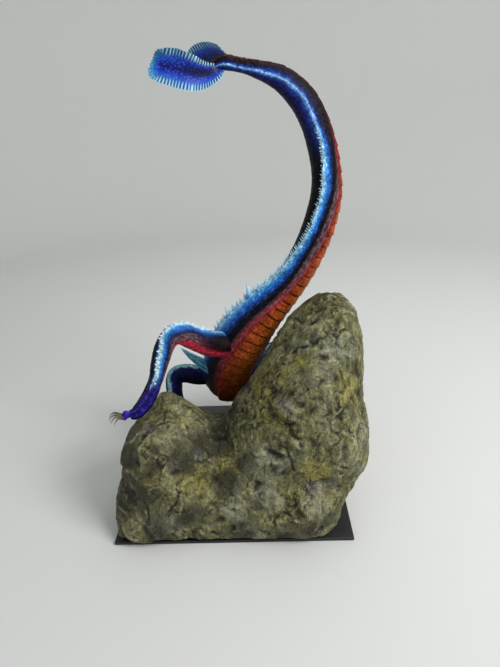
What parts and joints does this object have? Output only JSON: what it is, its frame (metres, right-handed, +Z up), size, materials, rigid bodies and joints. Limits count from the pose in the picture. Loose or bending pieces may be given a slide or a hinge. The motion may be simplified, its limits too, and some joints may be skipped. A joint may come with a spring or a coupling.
{
  "type": "sand dragon sculpture",
  "caption": "Tabletop sculpture of a long-tailed dragon braced on a clay rock, its tail arched high over its back, on a square black board.",
  "frame": {"origin": "middle of the board's underside", "axes": "+Z up, +X to the right seen from the front, the front faces -Y"},
  "size_m": [0.214, 0.2053, 0.3726],
  "materials": {
    "board_paint": "black satin paint on a thin board",
    "rock_clay": "matt sculpted clay, olive and ochre drybrushed over a dark brown wash",
    "dragon_skin": "satin acrylic on pebbled clay: blue back, light blue ridges, red and orange belly"
  },
  "bodies": {
    "root": {"base_plate": "board_paint", "rock": "rock_clay", "dragon": "dragon_skin"}
  },
  "joints": []
}
